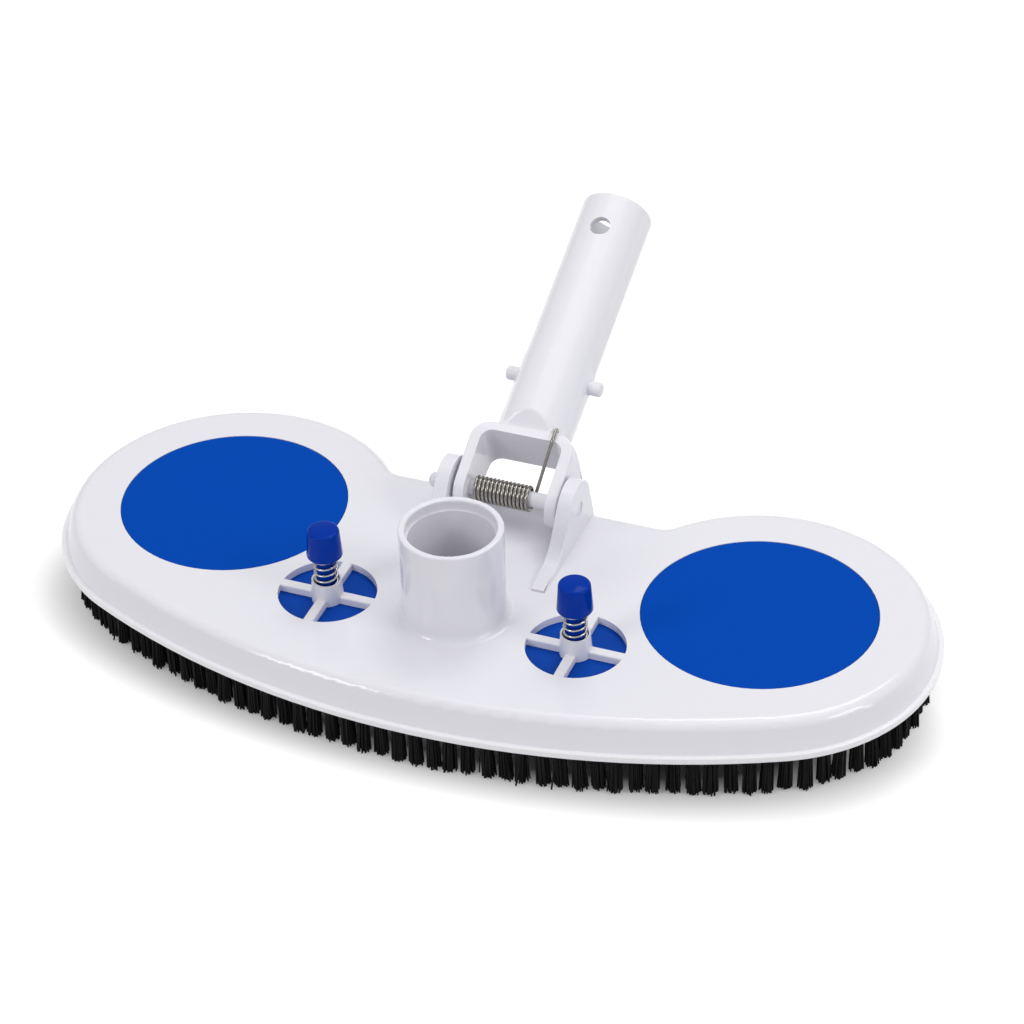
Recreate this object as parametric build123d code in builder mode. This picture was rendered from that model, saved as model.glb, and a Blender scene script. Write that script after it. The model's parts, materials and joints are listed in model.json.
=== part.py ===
"""Weighted oval vacuum head for swimming pools, with a ring of bristles and a sprung pole handle.

Millimetres, +Z up. The bristle tips stand on z = 0 and the origin is under the middle of the
bounding box. X runs along the head, and the pole handle leans back towards +Y.
"""
import os
from math import asin, atan2, cos, degrees, hypot, radians, sin, sqrt, tan

from build123d import *

os.makedirs("parts", exist_ok=True)

# ---------------------------------------------------------------- driving dimensions

# head outline, measured at the lip
lobe_spacing = 208.0  # between the centres of the two round ends
lobe_radius = 66.4
front_reach = 89.9  # from the line of the lobe centres to the front of the lip
back_reach = 43.0  # from the same line to the straight back of the lip
waist_radius = 3.0  # where the round ends run into the straight back

# top casing
deck_height = 32.0  # top face above the bristle tips
deck_thickness = 2.9
skirt_height = 10.9
skirt_taper = 18.0
skirt_wall = 2.6
top_fillet = 5.0
lip_overhang = 1.8

# brush frame and bristles
frame_thickness = 2.8
frame_width = 17.0
frame_edge = 0.6
rib_height = 2.9
rib_gap = 1.2
rib_width = 4.2
tuft_inset = 7.2
tuft_pitch = 6.65
tuft_root_radius = 1.9
tuft_tip_radius = 2.7
tuft_seat = 2.4
tuft_clearance = 0.05
support_every = 15  # every so many tufts, one is stiff enough to stand on

# screws that hold the frame
screw_inset = 13.8
screw_count = 12
screw_radius = 1.5
screw_length = 9.0
screw_head_radius = 2.9
screw_head_height = 1.6
screw_clearance = 0.2
thread_gap = 0.02
boss_radius = 3.4
boss_spare = 0.5  # hole deeper than the screw

# weight pockets and their covers
cover_radius = 42.9
cover_thickness = 2.0
cover_gap = 0.15
cover_ledge = 1.6
cover_edge = 0.4
weight_thickness = 7.0
weight_gap = 0.3
weight_edge = 0.8
pocket_wall = 2.2

# relief valves
window_x = 48.2
window_y = -39.4
window_radius = 18.2
spoke_width = 3.9
spoke_edge = 0.6
hub_bottom_radius = 5.9
hub_top_radius = 5.5
hub_bore_gap = 0.3
hub_floor = 0.4  # spring seat above the deck
stem_radius = 3.3
stem_clearance = 0.08
knob_bottom_radius = 6.6
knob_top_radius = 5.9
knob_underside = 16.8  # above the deck
knob_height = 11.4
knob_fillet = 1.1
valve_travel = 8.0
knob_stop_gap = 3.0  # left between a pressed knob and its hub
valve_wire = 0.9
valve_coil_gap = 0.3  # between the coil and the stem
valve_coil_turns = 5
valve_spring_gap = 0.2
valve_disc_radius = 20.6
valve_disc_thickness = 2.0
valve_rim_height = 1.4
valve_rim_width = 1.2
valve_gap = 0.1
valve_screw_radius = 1.25
valve_screw_length = 12.0
valve_screw_head_radius = 3.4
valve_screw_head_height = 1.8

# hose port
port_y = -34.8
port_radius = 19.0
port_height = 37.4  # above the deck
port_wall = 3.2
port_mouth_wall = 2.5
port_mouth_depth = 4.3
port_base_fillet = 3.2
port_rim_fillet = 0.8

# pivot ears and axle
axle_y = 22.6
axle_height = 12.0  # above the deck
axle_radius = 2.9
axle_overhang = 5.7  # on the left
axle_recess = 0.4  # on the right
axle_dome = 2.0
axle_press_gap = 0.02
axle_running_gap = 0.08
ear_gap = 1.2  # between an ear and the handle's arm
ear_thickness = 5.4
ear_radius = 11.0
ear_front_lean = 36.0  # degrees from upright
ear_toe_reach = 14.5  # in front of the line of the lobe centres
ear_toe_height = 0.8
ear_toe_slope = 7.0
ear_sweep_radius = 15.0  # between the leaning front and the toe
ear_foot_back = 38.4
ear_edge = 0.5

# pole handle
handle_lean = 24.7  # degrees above the deck at rest
arm_outer = 20.4
arm_thickness = 4.3
arm_end_radius = 8.8
yoke_depth = 21.2
yoke_reach = 23.5  # axle to the top of the crossbar
crossbar_thickness = 3.6
yoke_corner = 7.5
yoke_inner_corner = 4.5
yoke_edge = 0.8
tube_radius = 13.9
tube_wall = 2.6
tube_end = 129.5  # axle to the open end of the tube
tube_edge = 0.6
tube_floor_rise = 4.0  # floor of the tube above the top of the crossbar
root_step = 0.3  # the foot of the tube is this much thicker
root_margin = 6.0  # the thicker foot ends this far above the snap pins
neck_rise = 6.0  # the flats on the foot of the tube end this far above the crossbar
neck_blend = 3.0  # rounding between those flats and the tube
gusset_root = 9.0  # from the middle of the tube
gusset_rise = 8.5  # above the crossbar
gusset_drop = 5.6  # below the top of the crossbar
gusset_bulge = (15.5, 3.1)  # a point of its rounded edge, from the middle and above the crossbar
gusset_thickness = 5.6
lock_hole_radius = 4.0
lock_hole_at = 114.0  # axle to the lock hole

# snap clip
pin_at = 51.0  # axle to the snap pins
pin_radius = 2.75
pin_running_gap = 0.08
pin_reach = 5.3  # out of the tube
pin_tip_fillet = 1.2
pin_flange_radius = 4.0
pin_flange_thickness = 1.2
pin_bore_gap = 0.3
pin_sunk = 0.2  # the pins go this far below the tube's surface
clip_strip = 0.8
clip_width = 7.0
clip_bow_radius = 6.0
clip_length = 26.0  # from the pins to the start of the bow
clip_tail = 5.0
clip_gap = 0.05

# torsion spring on the axle
spring_wire = 1.3
spring_coil_gap = 0.8  # between the coil and the axle
spring_left = -14.2
spring_turns = 14
spring_pitch = 1.57
spring_rest_gap = 0.3
lower_leg_slope = 30.0
leg_lead = 2.0  # the upper leg runs on from the coil this far before it turns outwards
leg_bend = 1.6
knee_x = 11.6
hook_x = 11.6
hook_depth = 2.2
hook_beyond = 1.5  # past the top of the crossbar

# ---------------------------------------------------------------- derived sizes and places

lobe_x = lobe_spacing / 2
front_radius = (lobe_x**2 + front_reach**2 - lobe_radius**2) / (2 * (front_reach - lobe_radius))
front_centre_y = front_radius - front_reach
waist_y = back_reach + waist_radius
waist_x = lobe_x - sqrt((lobe_radius + waist_radius) ** 2 - waist_y**2)

arm_dir = Vector(0, cos(radians(handle_lean)), sin(radians(handle_lean)))
arm_normal = Vector(0, -sin(radians(handle_lean)), cos(radians(handle_lean)))
handle_back = (
    axle_y + (tube_end - tube_edge) * arm_dir.Y + (tube_radius - tube_edge) * arm_dir.Z + tube_edge
)
head_y = (front_reach - handle_back) / 2

deck = Plane((0, head_y, deck_height))  # top face of the casing
axle_centre = Vector(0, head_y + axle_y, deck_height + axle_height)
arm_section = Plane(axle_centre, x_dir=(1, 0, 0), z_dir=arm_dir)
arm_front = Plane(axle_centre, x_dir=(1, 0, 0), z_dir=arm_normal)
arm_side = Plane(axle_centre, x_dir=arm_dir, z_dir=(1, 0, 0))
ear_side = Plane((0, head_y, deck_height), x_dir=(0, 1, 0), z_dir=(1, 0, 0))

cavity_height = skirt_height - deck_thickness
cavity_inset = lip_overhang + skirt_wall
frame_bottom = skirt_height + frame_thickness  # below the deck
rib_inset = cavity_inset + rib_gap

pocket_radius = cover_radius - cover_ledge
pocket_depth = cover_thickness + weight_gap + weight_thickness

hub_height = knob_underside - valve_travel - knob_stop_gap
hub_floor_hole = stem_radius + stem_clearance
valve_coil_radius = stem_radius + valve_coil_gap + valve_wire / 2
hub_bore = valve_coil_radius + valve_wire / 2 + hub_bore_gap
disc_top = -deck_thickness - valve_gap
valve_spring_foot = hub_floor + valve_spring_gap
valve_spring_top = knob_underside - valve_spring_gap
valve_coil_height = valve_spring_top - valve_spring_foot - valve_wire

port_bore = port_radius - port_wall
port_mouth = port_radius - port_mouth_wall

ear_inner = arm_outer + ear_gap
ear_outer = ear_inner + ear_thickness
arm_inner = arm_outer - arm_thickness
tube_bore = tube_radius - tube_wall
tube_floor = yoke_reach + tube_floor_rise
tube_root_radius = tube_radius + root_step
yoke_front = yoke_depth / 2
window_top = yoke_reach - crossbar_thickness
root_end = pin_at + root_margin

flange_face = sqrt(tube_bore**2 - pin_flange_radius**2) - pin_bore_gap
flange_back = flange_face - pin_flange_thickness
pin_tip = tube_radius + pin_reach
pin_travel = pin_reach + pin_sunk
clip_arm_x = flange_back - clip_gap - clip_strip / 2

spring_coil_radius = axle_radius + spring_coil_gap + spring_wire / 2
leg_clear = yoke_front + spring_rest_gap + spring_wire / 2
leg_distance = hypot(window_top, leg_clear)
upper_leg_slope = degrees(atan2(leg_clear, window_top) + asin(spring_coil_radius / leg_distance))
lower_leg_length = (
    axle_height
    - spring_coil_radius * cos(radians(lower_leg_slope))
    - spring_wire / 2
    - spring_rest_gap
) / sin(radians(lower_leg_slope))
coil_turns = spring_turns + (handle_lean + upper_leg_slope - lower_leg_slope) / 360


def head_outline(inset):
    """Outline of the head, drawn this far inside the lip with true parallel arcs."""
    waist_angle = degrees(atan2(waist_y, lobe_x - waist_x))
    front_angle = degrees(atan2(front_centre_y, lobe_x))
    CenterArc((0, front_centre_y), front_radius - inset, 270, 90 - front_angle)
    CenterArc((lobe_x, 0), lobe_radius - inset, -front_angle, 180 - waist_angle + front_angle)
    CenterArc((waist_x, waist_y), waist_radius + inset, -waist_angle, waist_angle - 90)
    Line((waist_x, back_reach - inset), (0, back_reach - inset))
    mirror(about=Plane.YZ)


def around_head(inset, count):
    """Points spread evenly along the outline at one inset, as (x, y) from the deck's middle."""
    with BuildLine() as row:
        head_outline(inset)
    path = Wire(row.edges().sort_by(Axis.Y))
    spots = [path.position_at((i + 0.5) / count) for i in range(count)]
    return [(spot.X, spot.Y) for spot in spots]


def on_handle(x, along, out):
    """A point given along the handle from the axle and outwards from its middle plane."""
    return axle_centre + Vector(x, 0, 0) + arm_dir * along + arm_normal * out


def save(piece, name):
    piece.part.label = name
    export_step(piece.part, f"parts/{name}.step")


with BuildLine() as tuft_row:
    head_outline(tuft_inset)
tuft_length = sum(edge.length for edge in tuft_row.edges())
tuft_spots = around_head(tuft_inset, round(tuft_length / tuft_pitch))
screw_spots = around_head(screw_inset, screw_count)
window_spots = [(-window_x, window_y), (window_x, window_y)]
lobe_spots = [(-lobe_x, 0), (lobe_x, 0)]
tuft_top = -frame_bottom + tuft_seat
tuft_spread = (tuft_tip_radius - tuft_root_radius) / (deck_height + tuft_top)
tuft_hole = tuft_root_radius + tuft_spread * tuft_seat + tuft_clearance

# ---------------------------------------------------------------- casing

# one pivot ear: a plate with a round top, whose leaning front sweeps out into a low toe
lean = radians(ear_front_lean)
front_start = (axle_y - ear_radius * cos(lean), axle_height + ear_radius * sin(lean))
toe = (-ear_toe_reach, ear_toe_height)
toe_rise = tan(radians(ear_toe_slope))
front_foot = front_start[0] - (front_start[1] - toe[1] + toe_rise * toe[0]) * tan(lean)
corner_y = front_foot / (1 - toe_rise * tan(lean))
front_corner = (corner_y, toe[1] + toe_rise * (corner_y - toe[0]))
heel = (ear_foot_back, -deck_thickness)
heel_distance = hypot(heel[0] - axle_y, heel[1] - axle_height)
heel_angle = degrees(atan2(heel[1] - axle_height, heel[0] - axle_y))
back_angle = heel_angle + 90 - degrees(asin(ear_radius / heel_distance))
back_start = (
    axle_y + ear_radius * cos(radians(back_angle)),
    axle_height + ear_radius * sin(radians(back_angle)),
)

with BuildPart() as ear:
    with BuildSketch(ear_side.offset(ear_inner)):
        with BuildLine():
            CenterArc((axle_y, axle_height), ear_radius, back_angle, 180 - ear_front_lean - back_angle)
            FilletPolyline(front_start, front_corner, toe, radius=ear_sweep_radius)
            Polyline(toe, (toe[0], -deck_thickness), heel, back_start)
        make_face()
    extrude(amount=ear_thickness)
    outer_edges = ear.faces().sort_by(Axis.X)[-1].edges()
    fillet(outer_edges.filter_by(lambda edge: edge.center().Z > deck_height + toe[1]), ear_edge)

with BuildPart() as body_shell:
    # tapered skirt under a flat deck
    with BuildSketch(deck.offset(-skirt_height)):
        with BuildLine():
            head_outline(lip_overhang)
        make_face()
    extrude(amount=skirt_height, taper=skirt_taper)
    fillet(body_shell.faces().sort_by(Axis.Z)[-1].edges(), top_fillet)
    with BuildSketch(deck.offset(-skirt_height)):
        with BuildLine():
            head_outline(cavity_inset)
        make_face()
    extrude(amount=cavity_height, taper=skirt_taper, mode=Mode.SUBTRACT)

    # wells for the weights, each with a ledge that its cover lies on
    with BuildSketch(deck.offset(-deck_thickness)):
        with Locations(*lobe_spots):
            Circle(pocket_radius + pocket_wall)
    extrude(amount=-(pocket_depth + pocket_wall - deck_thickness))
    with BuildSketch(deck.offset(-pocket_depth)):
        with Locations(*lobe_spots):
            Circle(pocket_radius)
    extrude(amount=pocket_depth, mode=Mode.SUBTRACT)
    with BuildSketch(deck.offset(-cover_thickness)):
        with Locations(*lobe_spots):
            Circle(cover_radius + cover_gap)
    extrude(amount=cover_thickness, mode=Mode.SUBTRACT)

    # relief windows: four quarter openings left between crossed spokes and a hub
    with BuildSketch(deck):
        with Locations(*window_spots):
            Circle(window_radius)
            Rectangle(2 * window_radius, spoke_width, mode=Mode.SUBTRACT)
            Rectangle(spoke_width, 2 * window_radius, mode=Mode.SUBTRACT)
            Circle(hub_bottom_radius, mode=Mode.SUBTRACT)
    extrude(amount=-deck_thickness, mode=Mode.SUBTRACT)
    deck_lines = body_shell.faces().sort_by(Axis.Z)[-1].edges().filter_by(GeomType.LINE)
    fillet(deck_lines.filter_by(lambda edge: edge.length < window_radius), spoke_edge)
    with Locations(*[deck * Location((x, y, 0)) for x, y in window_spots]):
        Cone(
            hub_bottom_radius,
            hub_top_radius,
            hub_height,
            align=(Align.CENTER, Align.CENTER, Align.MIN),
        )
    with BuildSketch(deck.offset(hub_floor)):
        with Locations(*window_spots):
            Circle(hub_bore)
    extrude(amount=hub_height - hub_floor, mode=Mode.SUBTRACT)
    with BuildSketch(deck.offset(hub_floor)):
        with Locations(*window_spots):
            Circle(hub_floor_hole)
    extrude(amount=-(hub_floor + deck_thickness), mode=Mode.SUBTRACT)

    # hose port, open into the chamber under the deck
    with BuildSketch(deck):
        with Locations((0, port_y)):
            Circle(port_radius)
    extrude(amount=port_height)
    port_edges = body_shell.edges().filter_by(GeomType.CIRCLE)
    port_edges = port_edges.filter_by(lambda edge: abs(edge.radius - port_radius) < 0.01)
    fillet(port_edges.sort_by(Axis.Z)[0], port_base_fillet)
    with BuildSketch(deck.offset(-deck_thickness)):
        with Locations((0, port_y)):
            Circle(port_bore)
    extrude(amount=port_height + deck_thickness, mode=Mode.SUBTRACT)
    with BuildSketch(deck.offset(port_height)):
        with Locations((0, port_y)):
            Circle(port_mouth)
    extrude(amount=-port_mouth_depth, mode=Mode.SUBTRACT)
    fillet(body_shell.faces().sort_by(Axis.Z)[-1].edges(), port_rim_fillet)

    # pivot ears with a bore for the axle
    add(ear.part)
    mirror(ear.part, about=Plane.YZ)
    with BuildSketch(ear_side.offset(-ear_outer)):
        with Locations((axle_y, axle_height)):
            Circle(axle_radius + axle_press_gap)
    extrude(amount=2 * ear_outer, mode=Mode.SUBTRACT)

    # bosses for the frame's screws
    with BuildSketch(deck.offset(-skirt_height)):
        with Locations(*screw_spots):
            Circle(boss_radius)
    extrude(amount=cavity_height)
    with BuildSketch(deck.offset(-skirt_height)):
        with Locations(*screw_spots):
            Circle(screw_radius + thread_gap)
    extrude(amount=screw_length - frame_thickness + boss_spare, mode=Mode.SUBTRACT)
save(body_shell, "body_shell")

# ---------------------------------------------------------------- brush frame and bristles

with BuildPart() as brush_frame:
    with BuildSketch(deck.offset(-frame_bottom)):
        with BuildLine():
            head_outline(0)
        make_face()
        with BuildLine():
            head_outline(frame_width)
        make_face(mode=Mode.SUBTRACT)
    extrude(amount=frame_thickness)
    ring = brush_frame.faces().filter_by(Axis.Z)
    fillet([edge for face in ring for edge in face.outer_wire().edges()], frame_edge)
    # rib that finds its place inside the skirt
    with BuildSketch(deck.offset(-skirt_height)):
        with BuildLine():
            head_outline(rib_inset)
        make_face()
        with BuildLine():
            head_outline(rib_inset + rib_width)
        make_face(mode=Mode.SUBTRACT)
    extrude(amount=rib_height)
    # seats for the tufts and holes for the screws
    with BuildSketch(deck.offset(-frame_bottom)):
        with Locations(*tuft_spots):
            Circle(tuft_hole)
    extrude(amount=tuft_seat, mode=Mode.SUBTRACT)
    with BuildSketch(deck.offset(-frame_bottom)):
        with Locations(*screw_spots):
            Circle(screw_radius + screw_clearance)
    extrude(amount=frame_thickness, mode=Mode.SUBTRACT)
save(brush_frame, "brush_frame")

with BuildPart() as frame_screws:
    with BuildSketch(deck.offset(-frame_bottom)):
        with Locations(*screw_spots):
            Circle(screw_head_radius)
    extrude(amount=-screw_head_height)
    with BuildSketch(deck.offset(-frame_bottom)):
        with Locations(*screw_spots):
            Circle(screw_radius)
    extrude(amount=screw_length)
save(frame_screws, "frame_screws")


def tuft_group(index, spot):
    """The node that a tuft belongs to."""
    if index % support_every == support_every // 2:
        return "brush_tufts_support"
    if abs(spot[0]) > lobe_x:
        return "brush_tufts_right" if spot[0] > 0 else "brush_tufts_left"
    return "brush_tufts_front" if spot[1] < 0 else "brush_tufts_rear"


groups = {}
for index, spot in enumerate(tuft_spots):
    groups.setdefault(tuft_group(index, spot), []).append(spot)
for name, spots in groups.items():
    with BuildPart() as tufts:
        with Locations(*[deck * Location((x, y, -deck_height)) for x, y in spots]):
            Cone(
                tuft_tip_radius,
                tuft_root_radius,
                deck_height + tuft_top,
                align=(Align.CENTER, Align.CENTER, Align.MIN),
            )
    save(tufts, name)

# ---------------------------------------------------------------- weights and their covers

for side, (x, y) in zip(("left", "right"), lobe_spots):
    with BuildPart() as weight:
        with BuildSketch(deck.offset(-pocket_depth)):
            with Locations((x, y)):
                Circle(pocket_radius - weight_gap)
        extrude(amount=weight_thickness)
        chamfer(weight.edges(), weight_edge)
    save(weight, f"weight_{side}")

    with BuildPart() as cover:
        with BuildSketch(deck.offset(-cover_thickness)):
            with Locations((x, y)):
                Circle(cover_radius)
        extrude(amount=cover_thickness)
        fillet(cover.edges().sort_by(Axis.Z)[-1], cover_edge)
    save(cover, f"cover_{side}")

# ---------------------------------------------------------------- relief valves

for side, (x, y) in zip(("left", "right"), window_spots):
    with BuildPart() as knob:
        with BuildSketch(deck.offset(disc_top)):
            with Locations((x, y)):
                Circle(stem_radius)
        extrude(amount=knob_underside - disc_top)
        with Locations(deck * Location((x, y, knob_underside))):
            Cone(
                knob_bottom_radius,
                knob_top_radius,
                knob_height,
                align=(Align.CENTER, Align.CENTER, Align.MIN),
            )
        fillet(knob.edges().sort_by(Axis.Z)[-1], knob_fillet)
        with BuildSketch(deck.offset(disc_top)):
            with Locations((x, y)):
                Circle(valve_screw_radius + thread_gap)
        extrude(amount=valve_screw_length - valve_disc_thickness + boss_spare, mode=Mode.SUBTRACT)
    save(knob, f"valve_knob_{side}")

    with BuildPart() as disc:
        with BuildSketch(deck.offset(disc_top)):
            with Locations((x, y)):
                Circle(valve_disc_radius)
        extrude(amount=-valve_disc_thickness)
        with BuildSketch(deck.offset(disc_top - valve_disc_thickness)):
            with Locations((x, y)):
                Circle(valve_disc_radius)
                Circle(valve_disc_radius - valve_rim_width, mode=Mode.SUBTRACT)
        extrude(amount=-valve_rim_height)
        with BuildSketch(deck.offset(disc_top)):
            with Locations((x, y)):
                Circle(valve_screw_radius + screw_clearance)
        extrude(amount=-valve_disc_thickness, mode=Mode.SUBTRACT)
    save(disc, f"valve_disc_{side}")

    with BuildPart() as valve_screw:
        with BuildSketch(deck.offset(disc_top - valve_disc_thickness)):
            with Locations((x, y)):
                Circle(valve_screw_head_radius)
        extrude(amount=-valve_screw_head_height)
        with BuildSketch(deck.offset(disc_top - valve_disc_thickness)):
            with Locations((x, y)):
                Circle(valve_screw_radius)
        extrude(amount=valve_screw_length)
    save(valve_screw, f"valve_screw_{side}")

    coil_foot = deck * Location((x, y, valve_spring_foot + valve_wire / 2))
    coil = coil_foot * Helix(valve_coil_height / valve_coil_turns, valve_coil_height, valve_coil_radius)
    with BuildPart() as valve_spring:
        with BuildSketch(Plane(coil @ 0, z_dir=coil % 0)):
            Circle(valve_wire / 2)
        sweep(path=coil, is_frenet=True)
    save(valve_spring, f"valve_spring_{side}")

# ---------------------------------------------------------------- pole handle

with BuildPart() as yoke:
    # two arms and a crossbar, deepest at the crossbar and rounded about the axle
    with BuildSketch(arm_front):
        with BuildLine():
            Polyline(
                (-arm_outer, -arm_end_radius),
                (-arm_inner, -arm_end_radius),
                (-arm_inner, window_top),
                (arm_inner, window_top),
                (arm_inner, -arm_end_radius),
                (arm_outer, -arm_end_radius),
                (arm_outer, yoke_reach),
                (-arm_outer, yoke_reach),
                close=True,
            )
        make_face()
        fillet(vertices().group_by(Axis.Y)[-1], yoke_corner)
        window_corners = vertices().filter_by(lambda corner: abs(corner.Y - window_top) < 0.01)
        fillet(window_corners, yoke_inner_corner)
    extrude(amount=yoke_front, both=True)
    with BuildSketch(arm_side):
        Circle(arm_end_radius)
        with Locations((yoke_reach - crossbar_thickness / 2, 0)):
            Rectangle(crossbar_thickness, yoke_depth)
        make_hull()
    extrude(amount=arm_outer, both=True, mode=Mode.INTERSECT)
    arm_faces = yoke.faces().filter_by(Axis.X).group_by(Axis.X)
    fillet(arm_faces[0].edges() + arm_faces[-1].edges(), yoke_edge)

with BuildPart() as handle:
    # tube, with flats on its foot that run down into the front and back of the crossbar
    with BuildSketch(arm_section.offset(window_top)):
        Circle(tube_root_radius)
    extrude(amount=root_end - window_top)
    with BuildSketch(arm_section.offset(root_end)):
        Circle(tube_radius)
    extrude(amount=tube_end - root_end)
    with BuildSketch(arm_side):
        with BuildLine():
            Polyline(
                (tube_end, -tube_root_radius),
                (tube_end, tube_root_radius),
                (yoke_reach + neck_rise, tube_root_radius),
                (yoke_reach, yoke_front),
                (window_top, yoke_front),
                (window_top, -yoke_front),
                (yoke_reach, -yoke_front),
                (yoke_reach + neck_rise, -tube_root_radius),
                close=True,
            )
        make_face()
    extrude(amount=tube_root_radius, both=True, mode=Mode.INTERSECT)
    fillet(handle.edges().filter_by(GeomType.ELLIPSE), neck_blend)
    add(yoke.part)

    # gussets low on each side, with a rounded edge from the arms up to the tube
    with BuildSketch(arm_front.offset(-yoke_front)):
        with BuildLine():
            ThreePointArc(
                (arm_outer, yoke_reach - gusset_drop),
                (gusset_bulge[0], yoke_reach + gusset_bulge[1]),
                (gusset_root, yoke_reach + gusset_rise),
            )
            Polyline(
                (gusset_root, yoke_reach + gusset_rise),
                (gusset_root, yoke_reach - crossbar_thickness / 2),
                (arm_inner + yoke_edge, yoke_reach - crossbar_thickness / 2),
                (arm_inner + yoke_edge, yoke_reach - gusset_drop),
                (arm_outer, yoke_reach - gusset_drop),
            )
        make_face()
        mirror(about=Plane.YZ)
    extrude(amount=gusset_thickness)

    # bore, open end, lock hole, pin holes and axle hole
    with BuildSketch(arm_section.offset(tube_floor)):
        Circle(tube_bore)
    extrude(amount=tube_end - tube_floor, mode=Mode.SUBTRACT)
    end_faces = handle.faces().filter_by(lambda face: face.normal_at().dot(arm_dir) > 0.999)
    fillet(end_faces.sort_by(lambda face: face.center().dot(arm_dir))[-1].edges(), tube_edge)
    with BuildSketch(arm_front):
        with Locations((0, lock_hole_at)):
            Circle(lock_hole_radius)
    extrude(amount=2 * tube_radius, both=True, mode=Mode.SUBTRACT)
    with BuildSketch(arm_side):
        with Locations((pin_at, 0)):
            Circle(pin_radius + pin_running_gap)
        Circle(axle_radius + axle_running_gap)
    extrude(amount=2 * arm_outer, both=True, mode=Mode.SUBTRACT)
save(handle, "handle")

# ---------------------------------------------------------------- axle and its spring

with BuildPart() as pivot_axle:
    with BuildSketch(arm_side.offset(-ear_outer - axle_overhang)):
        Circle(axle_radius)
    extrude(amount=2 * ear_outer + axle_overhang - axle_recess)
    fillet(pivot_axle.edges().sort_by(Axis.X)[0], axle_dome)
save(pivot_axle, "pivot_axle")

coil_start = Vector(0, sin(radians(lower_leg_slope)), -cos(radians(lower_leg_slope)))
coil_plane = Plane(axle_centre + Vector(spring_left, 0, 0), x_dir=coil_start, z_dir=(1, 0, 0))
coil = coil_plane * Helix(spring_pitch, spring_pitch * coil_turns, spring_coil_radius)
hook_top = yoke_reach + hook_beyond

with BuildPart() as torsion_spring:
    with BuildSketch(Plane(coil @ 0, z_dir=coil % 0)):
        Circle(spring_wire / 2)
    sweep(path=coil, is_frenet=True)
    with BuildSketch(Plane(coil @ 0, z_dir=coil % 0)):
        Circle(spring_wire / 2)
    extrude(amount=-lower_leg_length)
    with BuildLine() as upper_leg:
        FilletPolyline(
            coil @ 1,
            coil @ 1 + (coil % 1) * leg_lead,
            on_handle(knee_x, window_top, leg_clear),
            on_handle(hook_x, hook_top, leg_clear),
            on_handle(hook_x, hook_top, leg_clear - hook_depth),
            radius=leg_bend,
        )
    with BuildSketch(Plane(coil @ 1, z_dir=coil % 1)):
        Circle(spring_wire / 2)
    sweep(path=upper_leg.wire())
save(torsion_spring, "torsion_spring")

# ---------------------------------------------------------------- snap clip in the tube

for side, sign in (("left", -1), ("right", 1)):
    pin_side = Plane(on_handle(0, pin_at, 0), x_dir=arm_dir, z_dir=(sign, 0, 0))
    with BuildPart() as snap_pin:
        with BuildSketch(pin_side.offset(flange_back)):
            Circle(pin_flange_radius)
        extrude(amount=pin_flange_thickness)
        with BuildSketch(pin_side.offset(flange_face)):
            Circle(pin_radius)
        extrude(amount=pin_tip - flange_face)
        fillet(snap_pin.edges().sort_by(Axis.X)[-1 if sign > 0 else 0], pin_tip_fillet)
    save(snap_pin, f"snap_pin_{side}")

with BuildPart() as clip_spring:
    with BuildSketch(arm_front.offset(-clip_width / 2)):
        with BuildLine():
            bow = CenterArc((0, pin_at + clip_length), clip_bow_radius, 0, 180)
            for sign in (-1, 1):
                flat_end = (sign * clip_arm_x, pin_at + clip_tail)
                Line((sign * clip_bow_radius, pin_at + clip_length), flat_end)
                Line(flat_end, (sign * clip_arm_x, pin_at - clip_tail))
        trace(line_width=clip_strip)
    extrude(amount=clip_width)
save(clip_spring, "clip_spring")
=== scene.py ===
import json
import math

import bmesh
import bpy
from mathutils import Matrix, Vector


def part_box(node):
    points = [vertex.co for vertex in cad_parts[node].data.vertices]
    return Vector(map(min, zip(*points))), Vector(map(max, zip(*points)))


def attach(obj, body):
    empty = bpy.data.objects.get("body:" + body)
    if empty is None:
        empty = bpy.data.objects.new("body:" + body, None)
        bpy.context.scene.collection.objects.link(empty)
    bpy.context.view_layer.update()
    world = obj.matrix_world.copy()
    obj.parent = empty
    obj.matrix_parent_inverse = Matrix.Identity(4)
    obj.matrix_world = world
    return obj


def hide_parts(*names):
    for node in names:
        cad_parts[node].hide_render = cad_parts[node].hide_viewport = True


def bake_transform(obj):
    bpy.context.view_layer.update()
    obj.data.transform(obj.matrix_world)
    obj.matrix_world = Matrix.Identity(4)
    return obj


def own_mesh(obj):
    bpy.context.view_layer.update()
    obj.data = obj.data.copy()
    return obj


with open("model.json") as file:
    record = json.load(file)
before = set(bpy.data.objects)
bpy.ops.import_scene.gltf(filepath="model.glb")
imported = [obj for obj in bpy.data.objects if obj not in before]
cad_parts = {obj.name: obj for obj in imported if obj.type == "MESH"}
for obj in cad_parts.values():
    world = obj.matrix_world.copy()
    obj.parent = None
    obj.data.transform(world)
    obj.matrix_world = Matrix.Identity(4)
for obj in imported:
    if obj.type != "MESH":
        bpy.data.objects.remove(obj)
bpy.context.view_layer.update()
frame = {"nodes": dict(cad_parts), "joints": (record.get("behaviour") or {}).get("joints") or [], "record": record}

# ---- Camera ----
# A long portrait lens looks down on the head from its front right corner, turned a little
# anticlockwise, with the handle leaning away.
deck_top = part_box("cover_left")[1].z
head_middle = (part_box("cover_left")[0].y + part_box("cover_left")[1].y) / 2
azimuth, elevation, roll = math.radians(22.4366), math.radians(36.3349), math.radians(-1.992)
stand_off = 1.2526
focal_length, sensor_width = 117.47, 36
aim_aside, aim_behind = -0.00226, 0.02786  # of the middle of the head
aim = Vector((aim_aside, head_middle + aim_behind, deck_top))
away = Vector((
    math.sin(azimuth) * math.cos(elevation),
    -math.cos(azimuth) * math.cos(elevation),
    math.sin(elevation),
))
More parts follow.
